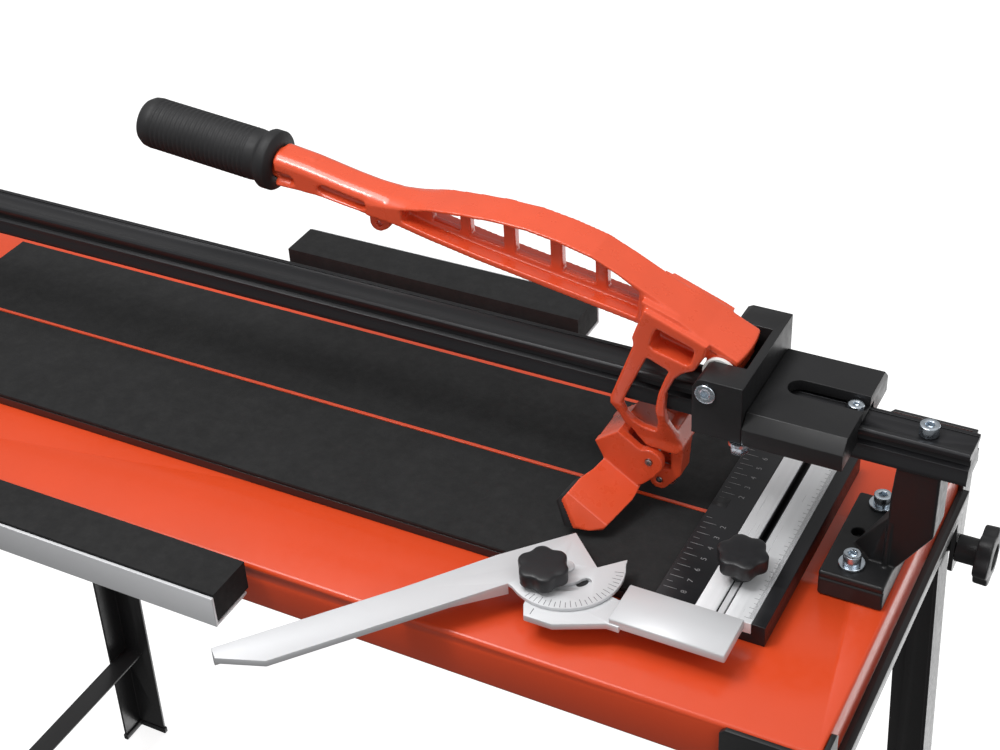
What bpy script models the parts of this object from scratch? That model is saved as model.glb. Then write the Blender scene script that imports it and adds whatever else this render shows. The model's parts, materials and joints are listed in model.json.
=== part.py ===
"""Manual tile cutter on a folding stand, modelled in millimetres and stored in metres.

Design frame: x along the cutting line, y across it (the user stands at -y), z = 0 on the table pads.
The root empty then shifts everything so that the origin is the bounding box's bottom centre.
"""
import math

import bmesh
import bpy
from mathutils import Matrix, Vector

MM = 0.001
GAP = 0.3  # clearance left between touching pieces

# ---------------------------------------------------------------- driving dimensions (mm)
MID_X = 31.6            # middle of the machine along the rail
BASE_LENGTH = 963.6
BASE_WIDTH = 365.6
BASE_TOP = -12.0
SKIRT_BOTTOM = -54.0
SHEET = 2.0
RAIL_LENGTH = 1037.0
RAIL_BOTTOM = 98.5
RAIL_TOP = 123.4
TABLE_X = (-384.0, 363.6)
TABLE_Y = 102.0
GROOVE_Y = 1.9          # half the gap between the table plates
PAD_THICKNESS = 3.7
SUPPORT_X = (461.5, 509.0)
SUPPORT_Y = (-39.0, 57.0)
SUPPORT_SCREW = (480.8, (-23.0, 48.0))
STOP_BOLT_X = 518.5
RULER_X = (364.3, 447.0)
RULER_Y = 105.0
SLOT_X = (410.2, 416.7)
RULER_KNOB = (413.45, -62.0)
STAR_RADIUS = 18.9
SLIDER_X = (349.5, 434.7)
SLIDER_Z = (8.0, 16.0)
FENCE_CORNER = (291.2, -77.8)   # the fence bar's upper corner on the tile's side
FENCE_ANGLE = math.radians(50.0)
FENCE_LENGTH = 273.9
FENCE_WIDTH = 28.2
FENCE_Z = (12.0, 15.0)
FENCE_PIVOT = (300.6, -114.0)
FENCE_KNOB = (292.0, -132.6)
SECTOR_RADIUS = 42.5
SECTOR_SLOT = (16.8, 24.8)      # inner and outer radius of the slot for the fence knob
CARRIAGE_X = (404.0, 475.0)
CARRIAGE_Y = 50.0
ROLLER_X = (418.0, 461.0)
ROLLER_Y = 17.9
PIVOT = (377.4, 147.3)
CLEVIS_X = (367.6, 403.7)
CHEEK_Y = (25.5, 49.5)
WHEEL_AXLE = (327.0, 25.0)
FOOT_PIN = (323.0, 47.8)
FOOT_TILT = math.radians(33.6)   # how far the foot hangs from level
GRIP_FRONT = (14.0, 222.5)
GRIP_SLOPE = math.radians(5.1)
GRIP_LENGTH = 125.0
ARM_Y = (191.3, 234.3)
ARM_BOTTOM = -29.4
FRONT_ARM_X = (-228.0, 75.0)
REAR_ARM_X = (-138.0, 165.0)
ROD_Z = -21.0
FLOOR = -786.0
BRACE_TOP = -648.0
LEG_FLANGE = (40.0, 32.0)
LEG_SHEET = 3.0
LEG_Y = 180.3
LEG_SPLAY = math.tan(math.radians(2.2))
HINGE_X = 485.0
HINGE_Z = {"right": -75.0, "left": -124.0}
BRACKET_BOTTOM = {"right": -136.0, "left": -186.0}
FRONT_RIM = -12.5    # tops of the brackets' corner plates
REAR_RIM = {"right": -7.0, "left": -18.0}
KNOB_Z = {"right": -114.0, "left": -163.0}
KNOB_Y = 166.0

BASE_X = (MID_X - BASE_LENGTH / 2, MID_X + BASE_LENGTH / 2)
BASE_Y = BASE_WIDTH / 2
RAIL_X = (MID_X - RAIL_LENGTH / 2, MID_X + RAIL_LENGTH / 2)

ROUND = 16              # sides of a small round piece

COLOURS = {             # base colour, metallic, roughness
    "red_enamel": ((0.80, 0.085, 0.025), 0.0, 0.35),
    "black_enamel": ((0.018, 0.018, 0.019), 0.0, 0.4),
    "black_anodised": ((0.020, 0.020, 0.022), 0.6, 0.38),
    "foam": ((0.016, 0.016, 0.017), 0.0, 0.9),
    "rubber": ((0.014, 0.014, 0.015), 0.0, 0.7),
    "plastic": ((0.015, 0.015, 0.016), 0.0, 0.5),
    "grey_enamel": ((0.60, 0.61, 0.63), 0.2, 0.4),
    "aluminium": ((0.62, 0.63, 0.65), 1.0, 0.35),
    "zinc": ((0.66, 0.69, 0.72), 1.0, 0.3),
    "steel": ((0.45, 0.45, 0.46), 1.0, 0.3),
    "nylon": ((0.75, 0.75, 0.74), 0.0, 0.5),
}


# ---------------------------------------------------------------- scene and naming
def clear_scene():
    for obj in list(bpy.data.objects):
        bpy.data.objects.remove(obj, do_unlink=True)


def new_collection(name):
    collection = bpy.data.collections.new(name)
    bpy.context.scene.collection.children.link(collection)
    return collection


clear_scene()
PARTS = new_collection("tile_cutter")
CUTTERS = new_collection("cutters")
BODIES = {}


def material(name):
    found = bpy.data.materials.get(name)
    if found:
        return found
    colour, metallic, roughness = COLOURS[name]
    made = bpy.data.materials.new(name)
    made.use_nodes = True
    shader = made.node_tree.nodes["Principled BSDF"]
    shader.inputs["Base Color"].default_value = (*colour, 1.0)
    shader.inputs["Metallic"].default_value = metallic
    shader.inputs["Roughness"].default_value = roughness
    made.diffuse_color = (*colour, 1.0)
    return made


def add_body(name, at, parent=None):
    """An empty on the body's joint axis; its children are placed relative to it."""
    empty = bpy.data.objects.new(name + "_axis", None)
    empty.empty_display_size = 0.02
    PARTS.objects.link(empty)
    origin = Vector(at)
    if parent:
        empty.parent = BODIES[parent][0]
        empty.location = (origin - BODIES[parent][1]) * MM
    BODIES[name] = (empty, origin)


# ---------------------------------------------------------------- shapes, in design millimetres
def box(x, y, z):
    bm = bmesh.new()
    low = Vector((x[0], y[0], z[0]))
    high = Vector((x[1], y[1], z[1]))
    size = high - low
    place = Matrix.Translation((low + high) / 2) @ Matrix.Diagonal((*size, 1.0))
    bmesh.ops.create_cube(bm, size=1.0, matrix=place)
    return bm


def rod(start, end, radius, sides=ROUND, end_radius=None):
    """A cylinder or cone between two points."""
    bm = bmesh.new()
    start, end = Vector(start), Vector(end)
    along = end - start
    place = Matrix.Translation((start + end) / 2) @ along.to_track_quat("Z", "Y").to_matrix().to_4x4()
    bmesh.ops.create_cone(bm, cap_ends=True, segments=sides, radius1=radius,
                          radius2=radius if end_radius is None else end_radius,
                          depth=along.length, matrix=place)
    return bm


def evaluated_bmesh(obj, merge=1e-4):
    """The object's evaluated mesh, welded, with its faces turned outwards; the object is removed."""
    depsgraph = bpy.context.evaluated_depsgraph_get()
    mesh = bpy.data.meshes.new_from_object(obj.evaluated_get(depsgraph))
    bm = bmesh.new()
    bm.from_mesh(mesh)
    bmesh.ops.remove_doubles(bm, verts=bm.verts, dist=merge)
    bmesh.ops.recalc_face_normals(bm, faces=bm.faces)
    bpy.data.meshes.remove(mesh)
    bpy.data.objects.remove(obj, do_unlink=True)
    return bm


TURN = {
    "z": Matrix.Identity(4),
    "y": Matrix(((1, 0, 0, 0), (0, 0, -1, 0), (0, 1, 0, 0), (0, 0, 0, 1))),
    "x": Matrix(((0, 0, 1, 0), (1, 0, 0, 0), (0, 1, 0, 0), (0, 0, 0, 1))),
}


def plate(outline, span, normal="z", holes=()):
    """A flat outline, in the two axes other than normal, given thickness between span[0] and span[1]."""
    curve = bpy.data.curves.new("outline", "CURVE")
    curve.dimensions = "2D"
    curve.fill_mode = "BOTH"
    curve.extrude = (span[1] - span[0]) / 2
    for loop in (outline, *holes):
        spline = curve.splines.new("POLY")
        spline.points.add(len(loop) - 1)
        for point, (u, v) in zip(spline.points, loop):
            point.co = (u, v, 0.0, 1.0)
        spline.use_cyclic_u = True
    obj = bpy.data.objects.new("outline", curve)
    bpy.context.scene.collection.objects.link(obj)
    bm = evaluated_bmesh(obj)
    bpy.data.curves.remove(curve)
    middle = (span[0] + span[1]) / 2
    lift = {"z": (0, 0, middle), "y": (0, middle, 0), "x": (middle, 0, 0)}[normal]
    bmesh.ops.transform(bm, matrix=Matrix.Translation(lift) @ TURN[normal], verts=bm.verts)
    return bm


def turned(profile, base, axis=(0, 0, 1), sides=ROUND):
    """A profile of (radius, height) pairs, from the top of the axis to its bottom, turned about the axis."""
    mesh = bpy.data.meshes.new("profile")
    edges = [(i, i + 1) for i in range(len(profile) - 1)]
    mesh.from_pydata([(r, 0.0, h) for r, h in profile], edges, [])
    obj = bpy.data.objects.new("profile", mesh)
    bpy.context.scene.collection.objects.link(obj)
    screw = obj.modifiers.new("turn", "SCREW")
    screw.steps = screw.render_steps = sides
    screw.use_merge_vertices = True
    screw.merge_threshold = 1e-4
    bm = evaluated_bmesh(obj)
    bpy.data.meshes.remove(mesh)
    place = Matrix.Translation(base) @ Vector(axis).to_track_quat("Z", "Y").to_matrix().to_4x4()
    bmesh.ops.transform(bm, matrix=place, verts=bm.verts)
    return bm


def arc(centre, radius, first, last, steps):
    """Points on an arc, from one angle to the other in degrees."""
    points = []
    for i in range(steps + 1):
        angle = math.radians(first + (last - first) * i / steps)
        points.append((centre[0] + radius * math.cos(angle), centre[1] + radius * math.sin(angle)))
    return points


def hull(points):
    """The convex solid around some points."""
    bm = bmesh.new()
    for point in points:
        bm.verts.new(point)
    made = bmesh.ops.convex_hull(bm, input=bm.verts[:])
    loose = [item for item in made["geom_interior"] + made["geom_unused"]
             if isinstance(item, bmesh.types.BMVert) and item.is_valid]
    bmesh.ops.delete(bm, geom=loose, context="VERTS")
    bmesh.ops.recalc_face_normals(bm, faces=bm.faces[:])
    return bm


def arc_slot(centre, radii, first, last):
    """The outline of a curved slot with round ends, between two angles in degrees, turning clockwise."""
    inner, outer = radii
    middle, half = (inner + outer) / 2, (outer - inner) / 2
    last_end = arc(centre, middle, last, last, 1)[0]
    first_end = arc(centre, middle, first, first, 1)[0]
    return (arc(centre, outer, first, last, 12) + arc(last_end, half, last, last - 180, 4)
            + arc(centre, inner, last, first, 12) + arc(first_end, half, first + 180, first, 4))


def flip_x(bm):
    """Mirrors a shape about the machine's middle and keeps its faces outwards."""
    place = Matrix.Translation((2 * MID_X, 0, 0)) @ Matrix.Diagonal((-1, 1, 1, 1))
    bmesh.ops.transform(bm, matrix=place, verts=bm.verts)
    bmesh.ops.reverse_faces(bm, faces=bm.faces)
    return bm


# ---------------------------------------------------------------- pieces
def to_object(name, bm, body, collection):
    empty, origin = BODIES[body]
    place = Matrix.Diagonal((MM, MM, MM, 1)) @ Matrix.Translation(-origin)
    bmesh.ops.transform(bm, matrix=place, verts=bm.verts)
    mesh = bpy.data.meshes.new(name)
    bm.to_mesh(mesh)
    bm.free()
    obj = bpy.data.objects.new(name, mesh)
    collection.objects.link(obj)
    obj.parent = empty
    return obj


def add_piece(name, bm, finish, body, join=(), cut=(), bevel=0.0, steps=1):
    """One sub-part: a shape, rounded where bevel is set, with others joined to it and cut from it."""
    obj = to_object(name, bm, body, PARTS)
    obj.data.materials.append(material(finish))
    obj.data.shade_smooth()
    obj.data.set_sharp_from_angle(angle=math.radians(35))
    if bevel:
        rounding = obj.modifiers.new("edges", "BEVEL")
        rounding.width = bevel * MM
        rounding.segments = steps
        rounding.limit_method = "ANGLE"
        rounding.angle_limit = math.radians(40)
    for operation, shapes in (("UNION", join), ("DIFFERENCE", cut)):
        for index, shape in enumerate(shapes):
            tool = to_object(f"{name}_{operation.lower()}_{index}", shape, body, CUTTERS)
            tool.hide_render = True
            tool.display_type = "WIRE"
            boolean = obj.modifiers.new(tool.name, "BOOLEAN")
            boolean.operation = operation
            boolean.object = tool
            boolean.solver = "EXACT"
    return obj


def star_outline(radius, depth, lobes=6, points=36):
    """A star knob's outline: a circle with rounded lobes."""
    outline = []
    for i in range(points):
        angle = 2 * math.pi * i / points
        r = radius - depth * (1 - math.cos(lobes * angle)) / 2
        outline.append((r * math.cos(angle), r * math.sin(angle)))
    return outline


def star_knob(name, base, axis, radius, neck, shank, body):
    """A moulded star head on a neck, with its threaded shank: each of neck and shank is (radius, length)."""
    head = 13.0
    shape = plate(star_outline(radius, 0.14 * radius), (neck[1], neck[1] + head))
    stem = turned([(0, neck[1] + 2), (neck[0], neck[1] + 2), (neck[0], 0), (shank[0], 0),
                   (shank[0], -shank[1]), (0, -shank[1])], (0, 0, 0), sides=12)
    place = Matrix.Translation(base) @ Vector(axis).to_track_quat("Z", "Y").to_matrix().to_4x4()
    for bm in (shape, stem):
        bmesh.ops.transform(bm, matrix=place, verts=bm.verts)
    return add_piece(name, shape, "plastic", body, join=[stem])


def cap_screw(name, base, axis, shank, body, washer=0.0, head=(6.5, 8.0)):
    """A socket cap screw standing on base: shank is (radius, length); washer is its radius, or 0."""
    thick = 2.0 if washer else 0.0
    top = thick + head[1]
    profile = [(0, top - 4), (3.2, top - 4), (3.2, top), (head[0] - 0.8, top), (head[0], top - 0.8)]
    if washer:
        profile += [(head[0], thick), (washer, thick), (washer, 0)]
    else:
        profile += [(head[0], 0)]
    profile += [(shank[0], 0), (shank[0], -shank[1]), (0, -shank[1])]
    return add_piece(name, turned(profile, base, axis, sides=12), "zinc", body)


# ---------------------------------------------------------------- bodies
def build_bodies():
    add_body("base", (0, 0, 0))
    add_body("carriage", (CARRIAGE_X[0], 0, RAIL_TOP), "base")
    add_body("lever", (PIVOT[0], 0, PIVOT[1]), "carriage")
    add_body("wheel", (WHEEL_AXLE[0], 0, WHEEL_AXLE[1]), "lever")
    add_body("foot", (FOOT_PIN[0], 0, FOOT_PIN[1]), "lever")
    add_body("fence_slider", (RULER_KNOB[0], RULER_KNOB[1], 0), "base")
    add_body("fence", (*FENCE_PIVOT, 0), "fence_slider")
    add_body("fence_knob", (*FENCE_KNOB, 0), "fence_slider")
    add_body("ruler_knob", (*RULER_KNOB, 0), "fence_slider")
    add_body("front_arm", (sum(FRONT_ARM_X) / 2, -ARM_Y[0], ROD_Z), "base")
    add_body("rear_arm", (sum(REAR_ARM_X) / 2, ARM_Y[0], ROD_Z), "base")
    for side, y_sign in (("front", -1), ("rear", 1)):
        for place, x in zip(("inner", "outer"), ROLLER_X):
            add_body(f"roller_{side}_{place}", (x, y_sign * ROLLER_Y, RAIL_TOP), "carriage")
    for end, x_of in (("right", lambda x: x), ("left", lambda x: 2 * MID_X - x)):
        add_body(f"{end}_stand", (x_of(HINGE_X), 0, HINGE_Z[end]), "base")
        for side, y_sign in (("front", -1), ("rear", 1)):
            add_body(f"lock_knob_{end}_{side}", (x_of(517.5), y_sign * KNOB_Y, KNOB_Z[end]), "base")


# ---------------------------------------------------------------- base, tables, rail
def rod_positions(arm_x):
    middle = sum(arm_x) / 2
    return (middle - 90, middle + 90)


def build_base():
    cuts = [box((BASE_X[0] + SHEET, BASE_X[1] - SHEET), (-BASE_Y + SHEET, BASE_Y - SHEET),
                (SKIRT_BOTTOM - 5, BASE_TOP - SHEET))]
    for arm_x, y_sign in ((FRONT_ARM_X, -1), (REAR_ARM_X, 1)):
        for x in rod_positions(arm_x):
            cuts.append(rod((x, y_sign * (BASE_Y - 6), ROD_Z), (x, y_sign * (BASE_Y + 4), ROD_Z), 4.6, 12))
    for x in (SUPPORT_SCREW[0], 2 * MID_X - SUPPORT_SCREW[0]):
        for y in SUPPORT_SCREW[1]:
            cuts.append(rod((x, y, BASE_TOP - 6), (x, y, BASE_TOP + 4), 4.6, 12))
    add_piece("base_tray", box(BASE_X, (-BASE_Y, BASE_Y), (SKIRT_BOTTOM, BASE_TOP)), "red_enamel", "base",
              cut=cuts, bevel=3.0, steps=2)
    add_piece("breaking_ridge", box(TABLE_X, (-1.5, 1.5), (BASE_TOP + GAP, 0)), "red_enamel", "base")
    for side, sign in (("front", -1), ("rear", 1)):
        across = sorted((sign * GROOVE_Y, sign * TABLE_Y))
        add_piece(f"{side}_table_plate", box(TABLE_X, across, (BASE_TOP + GAP, -PAD_THICKNESS - GAP)),
                  "black_enamel", "base")
        add_piece(f"{side}_table_pad", box(TABLE_X, across, (-PAD_THICKNESS, 0)), "foam", "base")


def build_rail():
    half = [(15.5, RAIL_BOTTOM), (15.5, 102.0), (13.8, 105.5), (13.8, 110.5), (9.5, 112.0),
            (9.5, 117.6), (13.8, 119.0), (13.8, RAIL_TOP - 1.5), (12.4, RAIL_TOP), (9.3, RAIL_TOP),
            (9.3, RAIL_TOP - 1)]
    outline = half + [(-y, z) for y, z in reversed(half)]
    cuts = [rod((x, 0, RAIL_TOP - 9), (x, 0, RAIL_TOP + 2), 4.4, 12)
            for x in (STOP_BOLT_X, 2 * MID_X - STOP_BOLT_X)]
    add_piece("guide_rail", plate(outline, RAIL_X, "x"), "black_anodised", "base", cut=cuts)
    for end, x in (("right", STOP_BOLT_X), ("left", 2 * MID_X - STOP_BOLT_X)):
        top = RAIL_TOP - 1 + GAP
        profile = [(0, 4.0), (3.2, 4.0), (3.2, 8.0), (6.0, 8.0), (6.8, 7.2), (6.8, 0), (4, 0), (4, -7),
                   (0, -7)]
        add_piece(f"rail_stop_bolt_{end}", turned(profile, (x, 0, top), sides=12), "zinc", "base")


def build_support(end):
    """The cast rail support: a bolted foot, an upright that leans outwards and its gussets."""
    shape_of = (lambda bm: bm) if end == "right" else flip_x
    foot_top = 10.0
    rail_seat = RAIL_BOTTOM - GAP
    upright = [(500.5, 5), (507, 5), (533, 45), (533, rail_seat), (502.5, rail_seat), (500.5, 70)]
    buttress = [(475.5, -1.5, 8), (475.5, 1.5, 8), (475.5, 0, 11), (501, -9, 50), (501, 9, 50),
                (504, -9, 50), (504, 9, 50)]
    buttress += [(x, y, 8) for x in (490, 504) for y in (-13.7, 13.7)]
    rear_web = [(10, 8), (34, 8), (34, 28), (10, 56)]
    joins = [plate(upright, (-14, 14), "y"), hull(buttress), plate(rear_web, (498, 502.5), "x"),
             hull([(x, y, z) for x in (501, 504) for y, z in
                   ((-17.5, 8), (-12, 8), (-14.5, 48), (-12, 48))])]
    cuts = [rod((SUPPORT_SCREW[0], y, BASE_TOP - 4), (SUPPORT_SCREW[0], y, 20), 4.5, 12)
            for y in SUPPORT_SCREW[1]]
    cuts.append(rod((474.3, 12, 2), (474.3, 12, 20), 5, 12))
    groove_y = (SUPPORT_Y[0] - 5, SUPPORT_Y[0] + 1.5)
    cuts.append(box((SUPPORT_X[0] - 5, SUPPORT_X[1] + 5), groove_y, (3.2, 5.4)))
    body = box(SUPPORT_X, SUPPORT_Y, (BASE_TOP + GAP, foot_top))
    add_piece(f"{end}_support", shape_of(body), "black_enamel", "base",
              join=[shape_of(bm) for bm in joins], cut=[shape_of(bm) for bm in cuts], bevel=1.2)
    for side, y in zip(("front", "rear"), SUPPORT_SCREW[1]):
        x = SUPPORT_SCREW[0] if end == "right" else 2 * MID_X - SUPPORT_SCREW[0]
        cap_screw(f"support_screw_{end}_{side}", (x, y, foot_top + GAP), (0, 0, 1), (4.0, 30.0), "base",
                  washer=9.5)


# ---------------------------------------------------------------- ruler and fence
def build_ruler():
    x0, x1 = RULER_X
    top = 6.0
    seat = -3.9
    outline = [(x0, BASE_TOP + GAP), (x1, BASE_TOP + GAP), (x1, top), (436.9, top), (436.9, seat),
               (394.3, seat), (394.3, top), (x0, top)]
    add_piece("ruler_base", plate(outline, (-RULER_Y, RULER_Y), "y"), "black_anodised", "base")
    floor = seat + GAP
    rail = [(394.6, floor), (436.6, floor), (436.6, top), (SLOT_X[1], top), (SLOT_X[1], floor + 2),
            (SLOT_X[0], floor + 2), (SLOT_X[0], top + 1), (407.6, top + 1), (407.6, top), (394.6, top)]
    add_piece("ruler_rail", plate(rail, (-RULER_Y, RULER_Y), "y"), "aluminium", "base")


def on_fence(bm):
    """Places a shape made in the fence's own frame: x along the bar, y across it, from FENCE_CORNER."""
    turn = Matrix.Rotation(FENCE_ANGLE + math.pi, 4, "Z")
    bmesh.ops.transform(bm, matrix=Matrix.Translation((*FENCE_CORNER, 0)) @ turn, verts=bm.verts)
    return bm


def build_slider():
    """The block that slides on the ruler, with the arm that carries the fence."""
    high = SLIDER_Z[1]
    tongue_x = (SLOT_X[0] + 0.8, SLOT_X[1] - 0.8)
    arm = [(288.4, -157.7), (293.2, -167.2), (315, -167.2), (348.5, -151), (358, -151), (358, -124),
           (347, -126), (337, -124), (318, -101), (304, -97), (290, -102), (284, -116), (284, -132)]
    joins = [box(tongue_x, (-125, -46), (-1.0, 5.5)), box(tongue_x, (-125, -112), (0, high - 2)),
             plate(arm, (6.2, FENCE_Z[0] - GAP))]
    cuts = [rod((*RULER_KNOB, -5), (*RULER_KNOB, high), 2.1, 12),
            rod((*FENCE_PIVOT, 0), (*FENCE_PIVOT, high), 4.4, 12),
            rod((*FENCE_KNOB, 0), (*FENCE_KNOB, high), 3.4, 12)]
    add_piece("fence_slider_block", box(SLIDER_X, (-150, -112), SLIDER_Z), "grey_enamel", "fence_slider",
              join=joins, cut=cuts, bevel=1.0)
    rivet = [(0, 1.5), (5.0, 1.5), (6.0, 0.5), (6.0, 0), (4.0, 0), (4.0, -8.5), (0, -8.5)]
    add_piece("fence_pivot_pin", turned(rivet, (*FENCE_PIVOT, FENCE_Z[1] + GAP), sides=12), "grey_enamel",
              "fence_slider")


def build_fence():
    """The fence bar with its protractor sector, in the bar's own frame, and the two star knobs."""
    low, high = FENCE_Z
    turn = Matrix.Rotation(-FENCE_ANGLE - math.pi, 2)
    centre = turn @ (Vector(FENCE_PIVOT) - Vector(FENCE_CORNER))
    head_end, chamfer, lip_start, sheet = 65.5, 30.7, 82.0, 3.0
    tip = (FENCE_LENGTH, 10.6)
    shoulder = (FENCE_LENGTH - chamfer, FENCE_WIDTH)
    outline = [(0, 0), (1.9, 40.5), (-20.9, 42.4)] + arc(centre, SECTOR_RADIUS, 158, 2, 16)
    outline += [(head_end, FENCE_WIDTH), shoulder, tip, (FENCE_LENGTH, 0), (136, 0), (60.8, -2.7)]
    slot = arc_slot(centre, SECTOR_SLOT, 109, -30)
    flange = [(head_end, 4.5), (head_end, high - 1), (shoulder[0], high - 1), (shoulder[0], 9.5),
              (110, 9.5)]
    corner = [shoulder, tip, (tip[0], tip[1] - 3.4), (shoulder[0], FENCE_WIDTH - 3.4)]
    joins = [box((lip_start, FENCE_LENGTH), (0, sheet), (0.6, high - 1)),
             plate(flange, (FENCE_WIDTH - sheet, FENCE_WIDTH), "y"), plate(corner, (9.5, high - 1))]
    cuts = [plate(slot, (low - 5, high + 5)), rod((*centre, low - 5), (*centre, high + 5), 4.4, 12)]
    add_piece("fence_bar", on_fence(plate(outline, FENCE_Z)), "grey_enamel", "fence",
              join=[on_fence(bm) for bm in joins], cut=[on_fence(bm) for bm in cuts])

    up = (0, 0, 1)
    star_knob("fence_knob", (*FENCE_KNOB, high + GAP), up, STAR_RADIUS, (9.0, 3.5), (3.0, 8.5), "fence_knob")
    star_knob("ruler_knob", (*RULER_KNOB, 7.3), up, STAR_RADIUS, (9.0, 10.0), (1.8, 7.5), "ruler_knob")


# ---------------------------------------------------------------- carriage
def build_carriage():
    x0, x1 = CARRIAGE_X
    low, high, chamfer = 112.0, 134.0, 9.0
    tunnel_y, tunnel_top = 17.2, 125.6
    half = [(CARRIAGE_Y, low), (CARRIAGE_Y, high - chamfer), (CARRIAGE_Y - chamfer, high)]
    outline = half + [(-y, z) for y, z in reversed(half)]
    cuts = [box((x0 - 5, x1 + 5), (-tunnel_y, tunnel_y), (low - 5, tunnel_top))]
    slot = arc((428, 0), 9.0, 90, 270, 10) + [(x1 + 5, -9), (x1 + 5, 9)]
    cuts.append(plate(slot, (tunnel_top - 3, high + 5)))
    for y_sign in (-1, 1):
        for x in ROLLER_X:
            y = y_sign * ROLLER_Y
            cuts.append(rod((x, y, low - 5), (x, y, 118.0), 9.0, 16))
            cuts.append(rod((x, y, 117.0), (x, y, 124.0), 3.6, 12))
    add_piece("carriage_body", plate(outline, CARRIAGE_X, "x"), "black_enamel", "carriage", cut=cuts)
    for side, y_sign in (("front", -1), ("rear", 1)):
        for place, x in zip(("inner", "outer"), ROLLER_X):
            profile = [(0, 8), (3.0, 8), (3.0, 2.2), (8.0, 2.2), (8.0, -2.0), (3.7, -2.0), (3.7, -7.0),
                       (0, -7.0)]
            roller = turned(profile, (x, y_sign * ROLLER_Y, 115.0), sides=12)
            add_piece(f"guide_roller_{side}_{place}", roller, "steel", f"roller_{side}_{place}")

    cheek = [(CLEVIS_X[0], low), (CLEVIS_X[1], low), (CLEVIS_X[1], 158), (374, 158), (370.5, 156),
             (CLEVIS_X[0], 150.5)]
    cuts = [box((CLEVIS_X[0] - 5, 397.4), (-CHEEK_Y[0], CHEEK_Y[0]), (128.0, 170)),
            box((CLEVIS_X[0] - 5, CLEVIS_X[1] + 5), (-tunnel_y, tunnel_y), (low - 5, tunnel_top)),
            rod((PIVOT[0], -60, PIVOT[1]), (PIVOT[0], 60, PIVOT[1]), 4.5, 16)]
    add_piece("clevis_block", plate(cheek, (-CHEEK_Y[1], CHEEK_Y[1]), "y"), "black_enamel", "carriage",
              cut=cuts)
    profile = [(0, -2.4), (3.2, -2.4), (3.2, 1.4), (6.9, 1.4), (7.4, 0.9), (7.4, 0), (4.2, 0), (4.2, -99),
               (0, -99)]
    add_piece("pivot_screw", turned(profile, (PIVOT[0], -CHEEK_Y[1] - GAP, PIVOT[1]), (0, -1, 0)), "zinc",
              "carriage")
    sleeve = [(4.6, 25.1), (8.5, 25.1), (8.5, 22.6), (7.0, 22.6), (7.0, -22.6), (12.3, -22.6),
              (12.3, -25.1), (4.6, -25.1), (4.6, 25.1)]
    add_piece("pivot_bush", turned(sleeve, (PIVOT[0], 0, PIVOT[1]), (0, 1, 0)), "nylon", "carriage")


# ---------------------------------------------------------------- lever, yoke, grip
def slope_arm(bm, sign, fold_z=100.0, lean=0.33):
    """Leans the part of a yoke arm that is below the rail towards the middle."""
    bmesh.ops.bisect_plane(bm, geom=bm.verts[:] + bm.edges[:] + bm.faces[:], dist=1e-4,
                           plane_co=(0, 0, fold_z), plane_no=(0, 0, 1))
    for vert in bm.verts:
        if vert.co.z < fold_z:
            vert.co.y -= sign * lean * (fold_z - vert.co.z)
    return bm


def grip_point(distance):
    """A point on the grip's axis, at a distance behind the grip's front end."""
    return Vector((GRIP_FRONT[0] - distance * math.cos(GRIP_SLOPE), 0,
                   GRIP_FRONT[1] + distance * math.sin(GRIP_SLOPE)))


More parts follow.
